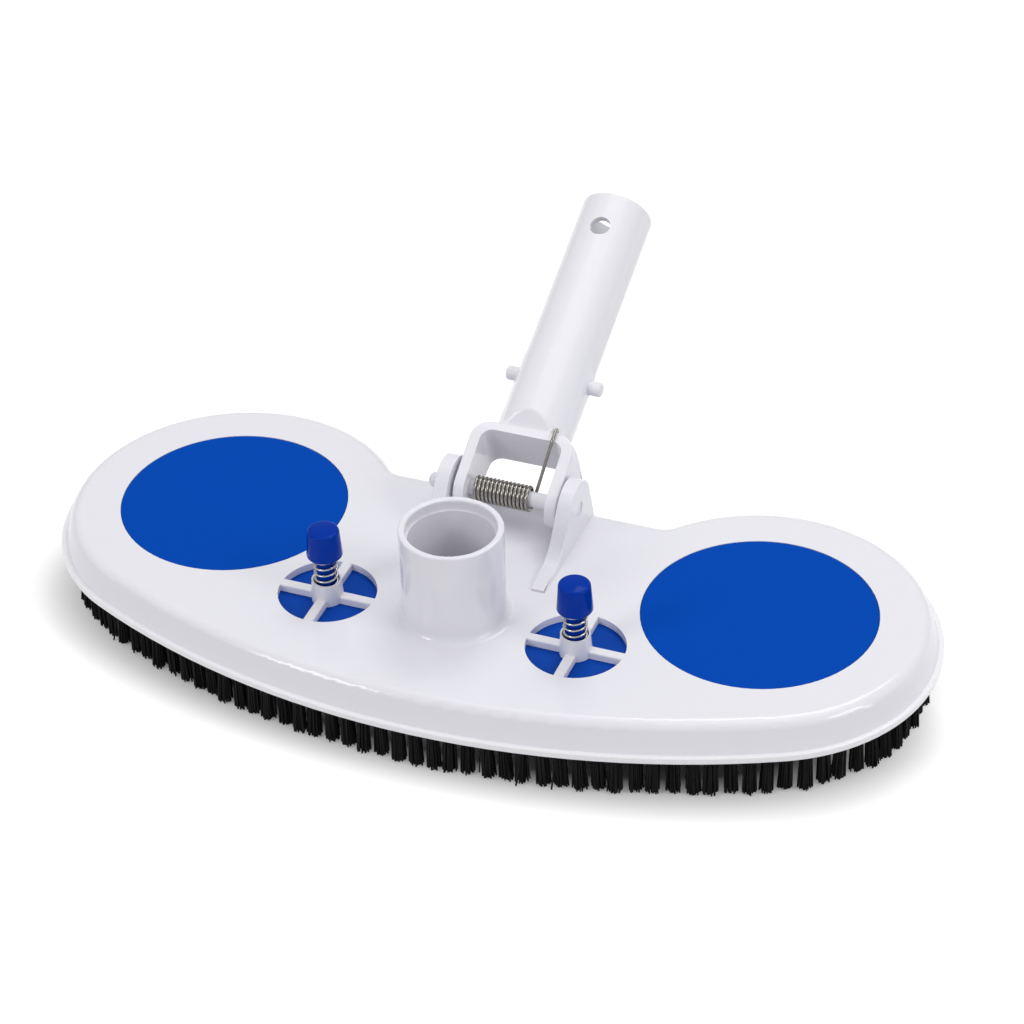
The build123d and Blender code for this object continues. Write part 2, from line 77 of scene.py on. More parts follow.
level = Vector((math.cos(azimuth), math.sin(azimuth), 0))
upright = away.cross(level)
across = level * math.cos(roll) + upright * math.sin(roll)
upwards = upright * math.cos(roll) - level * math.sin(roll)
lens = bpy.data.cameras.new("camera")
lens.lens, lens.sensor_width = focal_length, sensor_width
camera = bpy.data.objects.new("camera", lens)
outlook = Matrix((across, upwards, away)).transposed().to_4x4()
camera.matrix_world = Matrix.Translation(aim + away * stand_off) @ outlook
bpy.context.scene.collection.objects.link(camera)
bpy.context.scene.camera = camera


# ---- Casing ----
# One white injection moulding: flat deck, tapered skirt, hose port, relief windows with their
# hubs, and the two ears of the pivot. Its skin is smooth and glossy.
class Value:
    """One output of a node, with arithmetic that adds the Math nodes it stands for."""

    def __init__(self, graph, socket):
        self.graph = graph
        self.socket = socket

    def math(self, operation, other, swapped=False):
        first, second = (other, self) if swapped else (self, other)
        return self.graph.node("ShaderNodeMath", {"operation": operation}, {0: first, 1: second})

    def __add__(self, other):
        return self.math("ADD", other)

    def __sub__(self, other):
        return self.math("SUBTRACT", other)

    def __rsub__(self, other):
        return self.math("SUBTRACT", other, swapped=True)

    def __mul__(self, other):
        return self.math("MULTIPLY", other)

    def __truediv__(self, other):
        return self.math("DIVIDE", other)

    def __rtruediv__(self, other):
        return self.math("DIVIDE", other, swapped=True)

    __radd__ = __add__
    __rmul__ = __mul__


class Graph:
    """A node tree of a material or of Geometry Nodes."""

    def __init__(self, tree):
        self.tree = tree

    def node(self, kind, settings=None, sockets=None, output=0):
        made = self.tree.nodes.new(kind)
        for name, value in (settings or {}).items():
            if name == "stops":
                ramp = made.color_ramp.elements
                while len(ramp) < len(value):
                    ramp.new(0.5)
                for stop, (place, colour) in zip(ramp, value):
                    stop.position = place
                    stop.color = (*colour, 1)
            else:
                setattr(made, name, value)
        for name, value in (sockets or {}).items():
            if isinstance(value, Value):
                self.tree.links.new(value.socket, made.inputs[name])
            else:
                made.inputs[name].default_value = value
        return Value(self, made.outputs[output])


class Finish(Graph):
    """A material with one Principled shader, with constants on its sockets or values linked to them."""

    def __init__(self, name, **constants):
        self.material = bpy.data.materials.new(name)
        self.material.use_nodes = True
        super().__init__(self.material.node_tree)
        self.shader = self.tree.nodes["Principled BSDF"]
        for socket, value in constants.items():
            self.shader.inputs[socket.replace("_", " ")].default_value = value
        self.place = self.node("ShaderNodeTexCoord", output="Object")

    def noise(self, scale, detail):
        return self.node(
            "ShaderNodeTexNoise", {},
            {"Vector": self.place, "Scale": scale, "Detail": detail, "Roughness": 0.5},
        )

    def mottle(self, low, high, pattern):
        return self.node("ShaderNodeValToRGB", {"stops": [(0.3, low), (0.7, high)]}, {"Fac": pattern})

    def drive(self, socket, value):
        self.tree.links.new(value.socket, self.shader.inputs[socket])


def moulded_white(name, tint, shine):
    """Glossy white moulded plastic. Its colour wanders by far less than the eye can tell."""
    finish = Finish(name, Specular_IOR_Level=0.45, IOR=1.49)
    flow = finish.noise(240, detail=1)
    wander = 0.004
    pale = tuple(channel + wander for channel in tint)
    finish.drive("Base Color", finish.mottle(tint, pale, flow))
    finish.drive("Roughness", flow * 0.03 + shine)
    return finish.material


def paint(node, material):
    """Gives a CAD node its finish."""
    mesh = frame["nodes"][node].data
    mesh.materials.clear()
    mesh.materials.append(material)


def smoothed(piece):
    """Lets the large faces of a piece rule the shading of the roundings beside them."""
    weigh = piece.modifiers.new("weigh", "WEIGHTED_NORMAL")
    weigh.mode, weigh.weight, weigh.keep_sharp = "FACE_AREA_WITH_ANGLE", 50, True
    evaluated = piece.evaluated_get(bpy.context.evaluated_depsgraph_get())
    mesh = bpy.data.meshes.new_from_object(evaluated)
    piece.modifiers.remove(weigh)
    piece.data = mesh


same_place, no_length = 2e-6, 1e-7  # metres, for corners and edges of a CAD mesh
flat_angle, crease_angle = math.radians(0.2), math.radians(32)


def fair_copy(node, name, material, body):
    """A copy of a CAD node, its flat triangles joined, smooth over curves and crisp at corners."""
    mesh = frame["nodes"][node].data.copy()
    mesh.name = name
    work = bmesh.new()
    work.from_mesh(mesh)
    bmesh.ops.remove_doubles(work, verts=work.verts, dist=same_place)
    bmesh.ops.dissolve_degenerate(work, edges=work.edges, dist=no_length)
    bmesh.ops.dissolve_limit(work, angle_limit=flat_angle, verts=work.verts, edges=work.edges)
    work.to_mesh(mesh)
    work.free()
    mesh.shade_smooth()
    mesh.set_sharp_from_angle(angle=crease_angle)
    mesh.materials.clear()
    mesh.materials.append(material)
    piece = bpy.data.objects.new(name, mesh)
    bpy.context.scene.collection.objects.link(piece)
    smoothed(piece)
    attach(piece, body)
    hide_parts(node)
    return piece


casing_white = moulded_white("casing_white", (0.815, 0.81, 0.865), 0.1)
casing = fair_copy("body_shell", "casing", casing_white, "head")

# ---- Brush frame ----
# The white ring that carries the bristles. It is screwed up under the casing, and its rounded
# lip stands out below the skirt as the lowest white edge.
# paler than the casing's white: painted light that brightens the lip, which faces out and down
frame_white = moulded_white("frame_white", (0.93, 0.925, 0.96), 0.1)
ring = fair_copy("brush_frame", "brush_ring", frame_white, "head")

# ---- Bristles ----
# Tufts of stiff black nylon, each a bundle of filaments set in its own hole of the frame. They
# spread a little on the way down and are cut off flat in one plane, with a ragged edge.
lobe_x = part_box("cover_right")[0].x / 2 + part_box("cover_right")[1].x / 2
lobe_radius, front_reach, back_reach, waist_radius = 0.0664, 0.0899, 0.043, 0.003
tuft_inset = 0.0072
tuft_count = 122
tuft_sunk = 0.002  # of each tuft, inside its hole
tuft_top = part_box("brush_tufts_front")[1].z - tuft_sunk
tip_clearance = 0.0003  # above the plane that the head stands on
on_the_middle = 1e-6


def head_outline(inset):
    """Points of the head's outline, this far inside the lip, from the middle of the front."""
    steps = 24
    front_radius = (lobe_x**2 + front_reach**2 - lobe_radius**2) / (2 * (front_reach - lobe_radius))
    front_y = front_radius - front_reach
    waist_y = back_reach + waist_radius
    waist_x = lobe_x - math.sqrt((lobe_radius + waist_radius) ** 2 - waist_y**2)
    front_turn = math.atan2(front_y, lobe_x)
    waist_turn = math.atan2(waist_y, lobe_x - waist_x)
    arcs = [
        ((0, front_y), front_radius - inset, -math.pi / 2, -front_turn),
        ((lobe_x, 0), lobe_radius - inset, -front_turn, math.pi - waist_turn),
        ((waist_x, waist_y), waist_radius + inset, -waist_turn, -math.pi / 2),
    ]
    half = []
    for (x, y), radius, start, end in arcs:
        for i in range(steps):
            turn = start + (end - start) * i / (steps - 1)
            half.append((x + radius * math.cos(turn), y + radius * math.sin(turn)))
    return half + [(-x, y) for x, y in reversed(half) if x > on_the_middle]


def linked(name, mesh, material=None):
    """A new object at the origin that holds this mesh."""
    if material:
        mesh.materials.append(material)
    piece = bpy.data.objects.new(name, mesh)
    bpy.context.scene.collection.objects.link(piece)
    return piece


def geometry_nodes(name, inputs):
    """A Geometry Nodes tree with named inputs. Returns its graph and its inputs as values."""
    tree = bpy.data.node_groups.new(name, "GeometryNodeTree")
    tree.interface.new_socket("Geometry", in_out="OUTPUT", socket_type="NodeSocketGeometry")
    tree.interface.new_socket("Geometry", in_out="INPUT", socket_type="NodeSocketGeometry")
    for label, value in inputs.items():
        kind = "NodeSocketInt" if isinstance(value, int) else "NodeSocketFloat"
        tree.interface.new_socket(label, in_out="INPUT", socket_type=kind)
    graph = Graph(tree)
    entry = tree.nodes.new("NodeGroupInput")
    return graph, {socket.name: Value(graph, socket) for socket in entry.outputs if socket.name}


def grown(piece, graph, inputs, result, material):
    """Ends a tree in real geometry with its material, and makes the piece a plain mesh of it."""
    real = graph.node("GeometryNodeRealizeInstances", {}, {"Geometry": result})
    dressed = graph.node("GeometryNodeSetMaterial", {}, {"Geometry": real, "Material": material})
    exit_node = graph.tree.nodes.new("NodeGroupOutput")
    graph.tree.links.new(dressed.socket, exit_node.inputs["Geometry"])
    modifier = piece.modifiers.new(graph.tree.name, "NODES")
    modifier.node_group = graph.tree
    items = graph.tree.interface.items_tree
    sockets = {item.name: item.identifier for item in items if item.in_out == "INPUT"}
    for label, value in inputs.items():
        modifier[sockets[label]] = value
    evaluated = piece.evaluated_get(bpy.context.evaluated_depsgraph_get())
    mesh = bpy.data.meshes.new_from_object(evaluated)
    piece.modifiers.remove(modifier)
    piece.data = mesh


bristle_black = Finish("bristle_black", IOR=1.53, Specular_IOR_Level=0.1)
strand = bristle_black.noise(1500, detail=1)
nylon_tint = bristle_black.mottle((0.002, 0.002, 0.002), (0.011, 0.011, 0.011), strand)
bristle_black.drive("Base Color", nylon_tint)
bristle_black.drive("Roughness", strand * 0.2 + 0.42)

tuft_row = bpy.data.meshes.new("bristles")
row_points = [(x, y + head_middle, tuft_top) for x, y in head_outline(tuft_inset)]
row_edges = [(i, (i + 1) % len(row_points)) for i in range(len(row_points))]
tuft_row.from_pydata(row_points, row_edges, [])
bristles = linked("bristles", tuft_row)
bristle_sizes = {
    "Tufts": tuft_count,
    "Filaments": 60,
    "Root radius": 0.0019,
    "Tip radius": 0.0026,
    "Filament radius": 0.00034,
    "Length": tuft_top - tip_clearance,
    "Ragged": 0.0009,
    "Stray": 0.0003,
    "Wild share": 0.02,
    "Wild stray": 0.0022,
    "Lean": 0.0014,
    "Seed": 7,
}
graph, size = geometry_nodes("bristle_ring", bristle_sizes)
row = graph.node("GeometryNodeMeshToCurve", {}, {"Mesh": size["Geometry"]})
points = graph.node("GeometryNodePoints", {}, {"Count": size["Tufts"] * size["Filaments"]})
index = graph.node("GeometryNodeInputIndex")


def chance(low, high, offset):
    """A random number for each filament."""
    return graph.node(
        "FunctionNodeRandomValue", {"data_type": "FLOAT"},
        {"Min": low, "Max": high, "ID": index, "Seed": size["Seed"] + offset}, output=1,
    )


def math_of(operation, value):
    """One number put through a Math node."""
    return graph.node("ShaderNodeMath", {"operation": operation}, {0: value})


def vector(x, y, z):
    """A vector of three numbers."""
    return graph.node("ShaderNodeCombineXYZ", {}, {"X": x, "Y": y, "Z": z})


def sum_of(first, second):
    """Two vectors added."""
    return graph.node("ShaderNodeVectorMath", {"operation": "ADD"}, {0: first, 1: second})


def scaled(direction, length):
    """A vector made this many times as long."""
    return graph.node("ShaderNodeVectorMath", {"operation": "SCALE"}, {0: direction, "Scale": length})


tuft = math_of("FLOOR", (index + 0.5) / size["Filaments"])
filament = index - tuft * size["Filaments"]
seat = graph.node(
    "GeometryNodeSampleCurve", {"mode": "FACTOR", "use_all_curves": True},
    {"Curves": row, "Factor": (tuft + 0.5) / size["Tufts"]}, output="Position",
)
golden_angle, tuft_step, jitter = 2.39996, 1.7, 0.3
turn = filament * golden_angle + tuft * tuft_step + chance(-jitter, jitter, 1)
share = math_of("SQRT", (filament + 0.5) / size["Filaments"])
outward = vector(math_of("COSINE", turn), math_of("SINE", turn), 0.0)
root_offset = scaled(outward, share * size["Root radius"])
tip_reach = share * (size["Tip radius"] - size["Root radius"])
wild = chance(0, 1, 5).math("LESS_THAN", size["Wild share"])
looseness = size["Stray"] + wild * size["Wild stray"]
stray = vector(chance(-1, 1, 2) * looseness, chance(-1, 1, 3) * looseness, 0.0)
tuft_chance = graph.node(
    "FunctionNodeRandomValue", {"data_type": "FLOAT"},
    {"Min": -1.0, "Max": 1.0, "ID": tuft, "Seed": size["Seed"] + 9}, output=1,
)
half_turn = 3.14
tuft_turn = tuft_chance * half_turn
half_lean = size["Lean"] * 0.5
lean = vector(math_of("COSINE", tuft_turn) * half_lean, math_of("SINE", tuft_turn) * half_lean, 0.0)
spread = scaled(outward, tip_reach)
reach = size["Length"] - chance(0, 1, 4) * size["Ragged"]
drop = sum_of(sum_of(sum_of(spread, stray), lean), vector(0.0, 0.0, reach * -1))
placed = graph.node(
    "GeometryNodeSetPosition", {}, {"Geometry": points, "Position": sum_of(seat, root_offset)},
)
filament_mesh = graph.node(
    "GeometryNodeMeshCylinder", {"fill_type": "NGON"},
    {"Vertices": 4, "Side Segments": 1, "Radius": size["Filament radius"], "Depth": 1.0}, output="Mesh",
)
hanging = graph.node(
    "GeometryNodeTransform", {}, {"Geometry": filament_mesh, "Translation": (0, 0, 0.5)},
)
facing = graph.node("FunctionNodeAlignRotationToVector", {"axis": "Z"}, {"Vector": drop})
drop_length = graph.node("ShaderNodeVectorMath", {"operation": "LENGTH"}, {0: drop}, output="Value")
strands = graph.node(
    "GeometryNodeInstanceOnPoints", {},
    {"Points": placed, "Instance": hanging, "Rotation": facing, "Scale": vector(1.0, 1.0, drop_length)},
)
grown(bristles, graph, bristle_sizes, strands, bristle_black.material)
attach(bristles, "head")
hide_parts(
    "brush_tufts_front", "brush_tufts_rear", "brush_tufts_left", "brush_tufts_right",
    "brush_tufts_support",
)

# ---- Frame screws ----
# Stainless pan-head screws that hold the frame up against the casing's bosses, each with a
# cross recess. They are only seen from below.
screw_steel = Finish("screw_steel", Metallic=1.0)
turned = screw_steel.noise(1200, detail=2)
screw_steel.drive("Base Color", screw_steel.mottle((0.42, 0.42, 0.42), (0.55, 0.55, 0.56), turned))
screw_steel.drive("Roughness", turned * 0.2 + 0.22)


weld = 1e-6  # metres


def lathed(profile, centre, steps):
    """A mesh turned about an upright axis. The profile is (radius, height), from the top down."""
    work = bmesh.new()
    spine = [work.verts.new((radius, 0, height)) for radius, height in profile]
    edges = [work.edges.new(pair) for pair in zip(spine, spine[1:])]
    bmesh.ops.spin(
        work, geom=spine + edges, cent=(0, 0, 0), axis=(0, 0, 1), angle=2 * math.pi,
        steps=steps, use_merge=True,
    )
    bmesh.ops.remove_doubles(work, verts=work.verts, dist=weld)
    bmesh.ops.recalc_face_normals(work, faces=work.faces)
    bmesh.ops.translate(work, verts=work.verts, vec=centre)
    return work


def finished(work, name, material):
    """Turns a bmesh into an object, smooth but for its corners."""
    corner_angle = math.radians(40)
    mesh = bpy.data.meshes.new(name)
    work.to_mesh(mesh)
    work.free()
    mesh.shade_smooth()
    mesh.set_sharp_from_angle(angle=corner_angle)
    return linked(name, mesh, material)


def rounded(corner, radius, start, end, steps):
    """Points of a quarter or part turn about a corner's centre, for a lathe profile."""
    turns = [start + (end - start) * i / steps for i in range(steps + 1)]
    return [(corner[0] + radius * math.cos(t), corner[1] + radius * math.sin(t)) for t in turns]


slot_width, recess_depth = 0.0008, 0.0009


def cross_recess(piece, centre, span):
    """Cuts a cross into the underside of a screw head."""
    cutter = bmesh.new()
    for turn in (0, math.pi / 2):
        bar = bmesh.ops.create_cube(cutter, size=1)["verts"]
        bmesh.ops.scale(cutter, vec=(span, slot_width, 2 * recess_depth), verts=bar)
        bmesh.ops.rotate(cutter, verts=bar, cent=(0, 0, 0), matrix=Matrix.Rotation(turn, 3, "Z"))
        bmesh.ops.translate(cutter, verts=bar, vec=centre)
    tool = finished(cutter, "cutter", None)
    cut = piece.modifiers.new("recess", "BOOLEAN")
    cut.object, cut.solver, cut.use_self = tool, "EXACT", True
    evaluated = piece.evaluated_get(bpy.context.evaluated_depsgraph_get())
    mesh = bpy.data.meshes.new_from_object(evaluated)
    piece.modifiers.remove(cut)
    piece.data = mesh
    bpy.data.objects.remove(tool)


def middles(mesh):
    """The middle of each loose part of a mesh, seen from above, in order from left to right."""
    work = bmesh.new()
    work.from_mesh(mesh)
    bmesh.ops.remove_doubles(work, verts=work.verts, dist=same_place)
    found = []
    seen = set()
    for start in work.verts:
        if start.index in seen:
            continue
        part, edge = [], [start]
        seen.add(start.index)
        while edge:
            vert = edge.pop()
            part.append(vert.co.copy())
            for link in vert.link_edges:
                other = link.other_vert(vert)
                if other.index not in seen:
                    seen.add(other.index)
                    edge.append(other)
        found.append([(min(c[i] for c in part) + max(c[i] for c in part)) / 2 for i in (0, 1)])
    work.free()
    return sorted(found)


low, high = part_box("frame_screws")
head_radius, head_height, head_round = 0.0029, 0.0016, 0.0009
shank_radius, point_radius, point_height = 0.0015, 0.001, 0.0008
screw_sides, recess_span = 32, 0.0034
profile = [(0, high.z), (point_radius, high.z), (shank_radius, high.z - point_height)]
profile += [(shank_radius, low.z + head_height), (head_radius, low.z + head_height)]
head_corner = (head_radius - head_round, low.z + head_round)
profile += rounded(head_corner, head_round, 0, -math.pi / 2, steps=5) + [(0, low.z)]
one_screw = finished(lathed(profile, (0, 0, 0), screw_sides), "one_screw", screw_steel.material)
cross_recess(one_screw, Vector((0, 0, low.z)), recess_span)
screw_seats = bpy.data.meshes.new("screw_ring")
screw_seats.from_pydata([(x, y, 0) for x, y in middles(frame["nodes"]["frame_screws"].data)], [], [])
screw_ring = linked("screw_ring", screw_seats)
screw_sizes = {"Largest turn": half_turn, "Seed": 3}
graph, size = geometry_nodes("screw_ring", screw_sizes)
model = graph.node(
    "GeometryNodeObjectInfo", {}, {"Object": one_screw, "As Instance": True}, output="Geometry",
)
screw_index = graph.node("GeometryNodeInputIndex")
driven = graph.node(
    "FunctionNodeRandomValue", {"data_type": "FLOAT"},
    {"Min": 0.0, "Max": size["Largest turn"], "ID": screw_index, "Seed": size["Seed"]}, output=1,
)
screws = graph.node(
    "GeometryNodeInstanceOnPoints", {},
    {"Points": size["Geometry"], "Instance": model, "Rotation": vector(0.0, 0.0, driven)},
)
grown(screw_ring, graph, screw_sizes, screws, screw_steel.material)
bpy.data.objects.remove(one_screw)
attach(screw_ring, "head")
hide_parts("frame_screws")

# ---- Weights ----
# Two coated cast-iron discs, sealed in wells of the casing to sink the head.
weight_iron = Finish("weight_iron", Metallic=0.6)
cast = weight_iron.noise(400, detail=5)
weight_iron.drive("Base Color", weight_iron.mottle((0.05, 0.05, 0.05), (0.09, 0.09, 0.088), cast))
weight_iron.drive("Roughness", cast * 0.3 + 0.45)
for side in ("left", "right"):
    paint(f"weight_{side}", weight_iron.material)

# ---- Covers ----
# Thin blue discs that close the wells, let in flush with the deck. Their moulded skin is a
# little duller than the knobs.
cover_blue = Finish("cover_blue", Specular_IOR_Level=0.0, IOR=1.49)
skin = cover_blue.noise(300, detail=1)
cover_tint = cover_blue.mottle((0.003, 0.067, 0.435), (0.0032, 0.068, 0.44), skin)
cover_blue.drive("Base Color", cover_tint)
cover_blue.drive("Roughness", skin * 0.06 + 0.4)
for side in ("left", "right"):
    cover = fair_copy(f"cover_{side}", f"cover_disc_{side}", cover_blue.material, "head")

# ---- Relief valves ----
# A blue knob on a stem passes through each hub, with a bright steel spring under it that holds
# a blue disc up against the windows. A screw from below fixes the disc to the stem.
knob_blue = Finish("knob_blue", Specular_IOR_Level=0.06, IOR=1.49)
gloss = knob_blue.noise(200, detail=1)
knob_tint = knob_blue.mottle((0.0004, 0.034, 0.34), (0.0005, 0.035, 0.345), gloss)
knob_blue.drive("Base Color", knob_tint)
knob_blue.drive("Roughness", gloss * 0.03 + 0.08)
disc_blue = Finish("disc_blue", Specular_IOR_Level=0.05, IOR=1.49)
satin = disc_blue.noise(200, detail=1)
disc_tint = disc_blue.mottle((0.002, 0.058, 0.38), (0.0022, 0.059, 0.388), satin)
disc_blue.drive("Base Color", disc_tint)
disc_blue.drive("Roughness", satin * 0.06 + 0.3)
bright_wire = Finish("bright_wire", Metallic=1.0)
drawn = bright_wire.noise(800, detail=2)
bright_wire.drive("Base Color", bright_wire.mottle((0.5, 0.49, 0.48), (0.66, 0.65, 0.64), drawn))
bright_wire.drive("Roughness", drawn * 0.12 + 0.14)

knob_bottom, knob_top, knob_round, knob_dome = 0.0066, 0.0059, 0.0011, 0.0004
knob_edge, knob_side_lean, knob_sides, dome_steps = 0.0005, 0.08, 48, 6
stem_radius, stem_edge, spring_gap = 0.0033, 0.0003, 0.0002
disc_thickness, disc_edge, disc_foot, disc_sides = 0.002, 0.0005, 0.0003, 72
rim_land, rim_wall = 0.0009, 0.0012  # inwards from the outside of the disc's rim
seat_outer, seat_slope, seat_floor, seat_inner, seat_depth = 0.0062, 0.0056, 0.0041, 0.0038, 0.0006
screw_neck, screw_core, screw_rise, screw_round = 0.0032, 0.0024, 0.0009, 0.001
screw_proud, valve_recess_span = 0.0001, 0.0038
valve_wire, valve_turns = 0.0009, 5
closed_turns, closed_pitch = 0.75, 1.02  # at each end, the pitch in thicknesses of the wire
coil_steps, coil_start = 24, 0.6


def wire_mesh(name, points, radius, material, sides=10):
    """A round wire along these points, closed at its ends, as a plain mesh."""
    curve = bpy.data.curves.new(name, "CURVE")
    curve.dimensions, curve.bevel_depth, curve.bevel_resolution = "3D", radius, sides // 2 - 2
    curve.use_fill_caps = True
    line = curve.splines.new("POLY")
    line.points.add(len(points) - 1)
    for point, place in zip(line.points, points):
        point.co = (*place, 1)
    holder = bpy.data.objects.new(name, curve)
    mesh = bpy.data.meshes.new_from_object(holder)
    bpy.data.objects.remove(holder)
    mesh.shade_smooth()
    mesh.materials.clear()
    return linked(name, mesh, material)


for side in ("left", "right"):
    low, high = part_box(f"valve_knob_{side}")
    axis = Vector(((low.x + high.x) / 2, (low.y + high.y) / 2, 0))
    coil_low, coil_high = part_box(f"valve_spring_{side}")
    under = coil_high.z + spring_gap
    crown = high.z - knob_dome * 0.6
    dome = [(knob_top - knob_round) * i / dome_steps for i in range(dome_steps)]
    profile = [(x, crown + knob_dome * (1 - (x / (knob_top - knob_round)) ** 2)) for x in dome]
    upper_corner = (knob_top - knob_round, crown - knob_round)
    profile += rounded(upper_corner, knob_round, math.pi / 2, knob_side_lean, steps=7)
    lower_corner = (knob_bottom - knob_edge, under + knob_edge)
    profile += rounded(lower_corner, knob_edge, 0, -math.pi / 2, steps=4)
    profile += [(stem_radius + stem_edge, under), (stem_radius, under - stem_edge)]
    profile += [(stem_radius, low.z), (0, low.z)]
    knob = finished(lathed(profile, axis, knob_sides), f"knob_{side}", knob_blue.material)
    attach(knob, f"valve_{side}")
    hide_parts(f"valve_knob_{side}")

    low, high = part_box(f"valve_disc_{side}")
    rim = high.x - axis.x
    plate = high.z - disc_thickness
    profile = [(0, high.z), (rim - disc_edge, high.z), (rim, high.z - disc_edge), (rim, low.z + disc_foot)]
    profile += [(rim - disc_foot, low.z), (rim - rim_land, low.z), (rim - rim_wall, low.z + disc_foot)]
    profile += [(rim - rim_wall, plate), (seat_outer, plate), (seat_slope, plate - seat_depth)]
    profile += [(seat_floor, plate - seat_depth), (seat_inner, plate), (0, plate)]
    disc = finished(lathed(profile, axis, disc_sides), f"disc_{side}", disc_blue.material)
    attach(disc, f"valve_{side}")
    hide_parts(f"valve_disc_{side}")

    low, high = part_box(f"valve_screw_{side}")
    head_corner = (screw_core, low.z + screw_rise)
    profile = [(0, plate), (screw_neck, plate)]
    profile += rounded(head_corner, screw_round, 0, -math.pi / 2, steps=5)
    profile += [(0, low.z - screw_proud)]
    screw = finished(lathed(profile, axis, screw_sides), f"screw_{side}", screw_steel.material)
    cross_recess(screw, axis + Vector((0, 0, low.z)), valve_recess_span)
    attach(screw, f"valve_{side}")
    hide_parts(f"valve_screw_{side}")

    # the coil is closed on itself at both ends, so it sits flat
    coil_radius = (coil_high.x - coil_low.x) / 2 - valve_wire / 2
    rise = coil_high.z - coil_low.z - valve_wire
    turns = valve_turns + 2 * closed_turns
    coil = []
    for i in range(int(turns * coil_steps) + 1):
        done = i / coil_steps
        closed = min(done, closed_turns) + max(done - closed_turns - valve_turns, 0)
        share = min(max((done - closed_turns) / valve_turns, 0), 1)
        height = valve_wire * closed_pitch * closed
        height += (rise - 2 * closed_turns * valve_wire * closed_pitch) * share
        turn = done * 2 * math.pi + coil_start
        coil.append(axis + Vector((
            coil_radius * math.cos(turn), coil_radius * math.sin(turn),
            coil_low.z + valve_wire / 2 + height,
        )))
    spring = wire_mesh(f"spring_{side}", coil, valve_wire / 2, bright_wire.material)
    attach(spring, "head")
    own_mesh(spring)
    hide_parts(f"valve_spring_{side}")

# ---- Handle ----
# One white moulding: a yoke whose two arms swing on the axle, and a hollow tube that a pole
# slides over, with a lock hole near its open end.
handle_white = moulded_white("handle_white", (0.835, 0.83, 0.88), 0.1)
stick = fair_copy("handle", "pole_handle", handle_white, "handle")

# ---- Axle ----
# A plain white plastic pin, pressed through both ears, with a domed end that stands out on the
# left.
axle_white = moulded_white("axle_white", (0.77, 0.765, 0.82), 0.28)
axle = fair_copy("pivot_axle", "axle_pin", axle_white, "head")

# ---- Torsion spring ----
# Drawn stainless wire wound on the axle. One leg bears on the deck, and the other rises behind
# the axle and hooks over the front of the crossbar.
spring_steel = Finish("spring_steel", Metallic=1.0)
drawn = spring_steel.noise(700, detail=3)
wire_tint = spring_steel.mottle((0.34, 0.32, 0.29), (0.4, 0.38, 0.35), drawn)
spring_steel.drive("Base Color", wire_tint)
spring_steel.drive("Roughness", drawn * 0.06 + 0.12)

pivot = Vector(next(j["pos_m"] for j in frame["joints"] if j["name"] == "handle_tilt"))
arm = Vector(next(m["axis"] for m in frame["record"]["mounts"] if m["name"] == "handle_tube"))
arm_out = Vector((0, -arm.z, arm.y))
spring_wire, coil_radius, coil_pitch, coil_left = 0.0013, 0.00435, 0.00157, -0.0142
whole_turns, turn_steps = 14, 28
leg_above_deck = 0.00095  # half the wire, and a gap
window_top, leg_clear, leg_lead, knee_x = 0.0199, 0.01155, 0.002, 0.0116
hook_x, hook_top, hook_depth = 0.0116, 0.025, 0.0022
lower_slope = math.radians(30)
lean = math.atan2(arm.z, arm.y)
leg_distance = math.hypot(window_top, leg_clear)
upper_slope = math.atan2(leg_clear, window_top) + math.asin(coil_radius / leg_distance)
coil_turns = whole_turns + (lean + upper_slope - lower_slope) / (2 * math.pi)
slope = coil_pitch / (2 * math.pi * coil_radius)


def around_axle(turn, x):
    """A point of the coil's middle line."""
    return pivot + Vector((x, coil_radius * math.cos(turn), coil_radius * math.sin(turn)))


first_turn = lower_slope - math.pi / 2
lower_drop = pivot.z - deck_top - coil_radius * math.cos(lower_slope) - leg_above_deck
lower_length = lower_drop / math.sin(lower_slope)
lower_leg = Vector((slope, math.cos(lower_slope), math.sin(lower_slope))).normalized()
start = around_axle(first_turn, coil_left)
route = [start - lower_leg * lower_length, start - lower_leg * lower_length / 2]
for i in range(int(coil_turns * turn_steps) + 1):
    done = i / turn_steps
    route.append(around_axle(first_turn + done * 2 * math.pi, coil_left + coil_pitch * done))
last_turn = first_turn + coil_turns * 2 * math.pi
end = around_axle(last_turn, coil_left + coil_pitch * coil_turns)
rising = arm * math.cos(upper_slope) + arm_out * math.sin(upper_slope) + Vector((slope, 0, 0))
rising = rising.normalized()
turned = end + rising * leg_lead
knee = pivot + Vector((knee_x, 0, 0)) + arm * window_top + arm_out * leg_clear
top = pivot + Vector((hook_x, 0, 0)) + arm * hook_top + arm_out * leg_clear
tip = top - arm_out * hook_depth


def bend(before, corner, after, radius):
    """A rounded corner of the wire."""
    steps = 6
    into = (before - corner).normalized()
    out = (after - corner).normalized()
    half = into.angle(out) / 2
    cut = radius / math.tan(half)
    centre = corner + (into + out).normalized() * radius / math.sin(half)
    first, last = corner + into * cut - centre, corner + out * cut - centre
    whole = first.angle(last)
    line = []
    for i in range(steps + 1):
        leaving = first * math.sin(whole * (1 - i / steps))
        arriving = last * math.sin(whole * i / steps)
        line.append(centre + (leaving + arriving) / math.sin(whole))
    return line


lead_bend, knee_bend, hook_bend = 0.004, 0.0025, 0.0014
route += [end] + bend(end, turned, knee, lead_bend) + bend(turned, knee, top, knee_bend)
route += bend(knee, top, tip, hook_bend) + [tip]
return_spring = wire_mesh("return_spring", route, spring_wire / 2, spring_steel.material, sides=12)
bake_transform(return_spring)
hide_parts("torsion_spring")

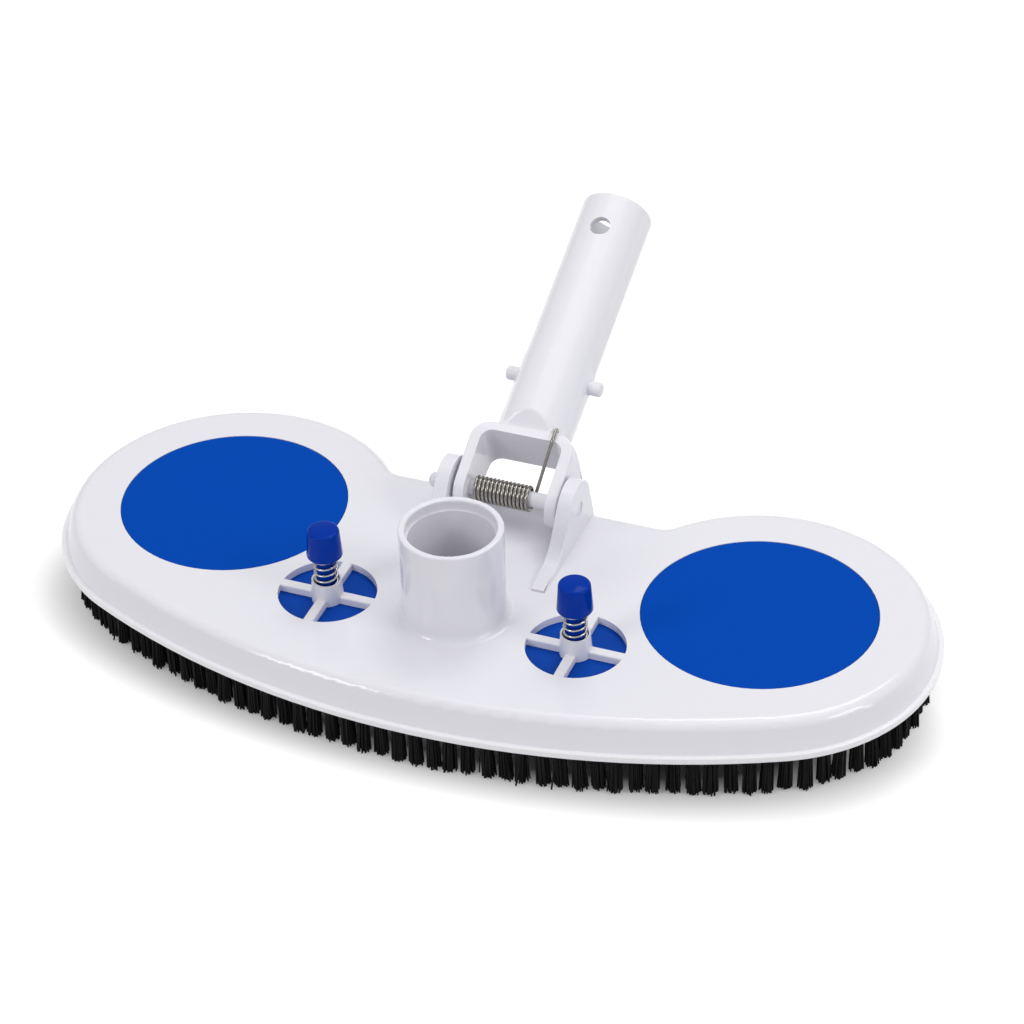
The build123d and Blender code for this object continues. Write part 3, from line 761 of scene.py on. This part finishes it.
# ---- Snap clip ----
# Two white plastic pins stand out through the sides of the tube. A bent steel leaf inside pushes
# them apart, and they snap into the holes of a pole.
pin_white = moulded_white("pin_white", (0.81, 0.805, 0.855), 0.25)
for side in ("left", "right"):
    pin = fair_copy(f"snap_pin_{side}", f"pole_pin_{side}", pin_white, f"pin_{side}")

pin_along, clip_length = 0.051, 0.026
bow_along = pin_along + clip_length
leaf_thickness, leaf_width, bow_radius, bow_steps = 0.0008, 0.007, 0.006, 8
leaf_x = (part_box("clip_spring")[1].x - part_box("clip_spring")[0].x) / 2 - leaf_thickness / 2
tail = 0.005
for side, sign in (("left", -1), ("right", 1)):
    turns = [math.pi / 2 * (1 - i / bow_steps) for i in range(bow_steps + 1)]
    line = [(sign * bow_radius * math.cos(t), bow_along + bow_radius * math.sin(t)) for t in turns]
    line += [(sign * leaf_x, pin_along + tail), (sign * leaf_x, pin_along - tail)]
    work = bmesh.new()
    rows = []
    for i, (x, along) in enumerate(line):
        ahead = Vector(line[min(i + 1, len(line) - 1)]) - Vector(line[max(i - 1, 0)])
        aside = Vector((ahead.y, -ahead.x)).normalized() * leaf_thickness / 2
        corners = []
        for out, edge in ((1, -1), (1, 1), (-1, 1), (-1, -1)):
            place = pivot + Vector((x + aside.x * out, 0, 0)) + arm * (along + aside.y * out)
            corners.append(work.verts.new(place + arm_out * leaf_width / 2 * edge))
        rows.append(corners)
    for row, next_row in zip(rows, rows[1:]):
        for i in range(4):
            work.faces.new((row[i], row[(i + 1) % 4], next_row[(i + 1) % 4], next_row[i]))
    work.faces.new(rows[0])
    work.faces.new(rows[-1])
    bmesh.ops.recalc_face_normals(work, faces=work.faces)
    leaf = finished(work, f"clip_leaf_{side}", spring_steel.material)
    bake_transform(leaf)
    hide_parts("clip_spring")

# ---- Floor and light ----
# A white sweep under soft light: broad lamps overhead and behind, a smaller one on each side in
# front, and a tall strip on the right for the streak along the tube. The sweep's glow is held
# back under and round the head, as painted shade.
painted_shade_fade_start, painted_shade_fade_end = 0.78, 1.1  # in the head's own size; the floor's glow is held back inside the first, a painted shade under and round the head, and is full beyond the second
full_glow, floor_reach = 0.6, 6
sky_light, sky_seen_more = 0.55, 0.45
paper = Finish("paper")
paper.tree.nodes.remove(paper.shader)
ways = paper.tree.nodes.new("ShaderNodeLightPath")
seen = Value(paper, ways.outputs["Is Camera Ray"])
for way in ("Is Glossy Ray", "Is Transmission Ray"):
    seen = seen.math("MAXIMUM", Value(paper, ways.outputs[way]))
matt = paper.node("ShaderNodeBsdfDiffuse", {}, {"Color": (0.6, 0.6, 0.6, 1)})
footprint = (0, head_middle + (back_reach - front_reach) / 2, 0)
half_size = (lobe_x + lobe_radius, (front_reach + back_reach) / 2, 1)
from_middle = paper.node("ShaderNodeVectorMath", {"operation": "SUBTRACT"}, {0: paper.place, 1: footprint})
spot = paper.node("ShaderNodeVectorMath", {"operation": "DIVIDE"}, {0: from_middle, 1: half_size})
span = paper.node("ShaderNodeVectorMath", {"operation": "LENGTH"}, {0: spot}, output="Value")
clear_of_painted_shade = paper.node(
    "ShaderNodeMapRange", {}, {"Value": span, "From Min": painted_shade_fade_start, "From Max": painted_shade_fade_end},
)
# the mask takes the glow away under and round the head: painted shade on the floor there
glow = seen * clear_of_painted_shade * full_glow
lift = paper.node("ShaderNodeEmission", {}, {"Color": (1, 1, 1, 1), "Strength": glow})
both = paper.node("ShaderNodeAddShader", {}, {0: matt, 1: lift})
paper.tree.links.new(both.socket, paper.tree.nodes["Material Output"].inputs["Surface"])
sheet = bmesh.new()
bmesh.ops.create_grid(sheet, x_segments=1, y_segments=1, size=floor_reach)
floor = finished(sheet, "floor", paper.material)

sky = bpy.data.worlds.new("sky")
bpy.context.scene.world = sky
sky.use_nodes = True
air = Graph(sky.node_tree)
ways = air.tree.nodes.new("ShaderNodeLightPath")
seen = Value(air, ways.outputs["Is Camera Ray"])
background = air.tree.nodes["Background"]
background.inputs["Color"].default_value = (1, 1, 1, 1)
air.tree.links.new((seen * sky_seen_more + sky_light).socket, background.inputs["Strength"])


def softbox(name, place, towards, width, height, power):
    """A rectangular studio lamp."""
    light = bpy.data.lights.new(name, "AREA")
    light.shape, light.size, light.size_y, light.energy = "RECTANGLE", width, height, power
    lamp = bpy.data.objects.new(name, light)
    facing = (Vector(place) - Vector(towards)).to_track_quat("Z", "Y")
    lamp.matrix_world = Matrix.Translation(place) @ facing.to_matrix().to_4x4()
    bpy.context.scene.collection.objects.link(lamp)


softbox("overhead", (0.1, 0.2, 1.4), (0, 0, 0), 1.2, 0.8, 3.3)
softbox("front_left", (-0.72, -0.98, 0.8), (0, 0, 0.03), 0.4, 0.4, 3.5)
softbox("front_right", (1.15, -0.3, 0.9), (0, 0, 0.03), 0.4, 0.4, 2.6)
softbox("strip", (1.1, -0.1, 0.6), (0, 0.05, 0.08), 0.08, 0.9, 1)
softbox("behind", (0.05, 0.8, 1.35), (0, 0.1, 0.08), 0.7, 0.5, 4)
bpy.context.scene.view_settings.view_transform = "Standard"
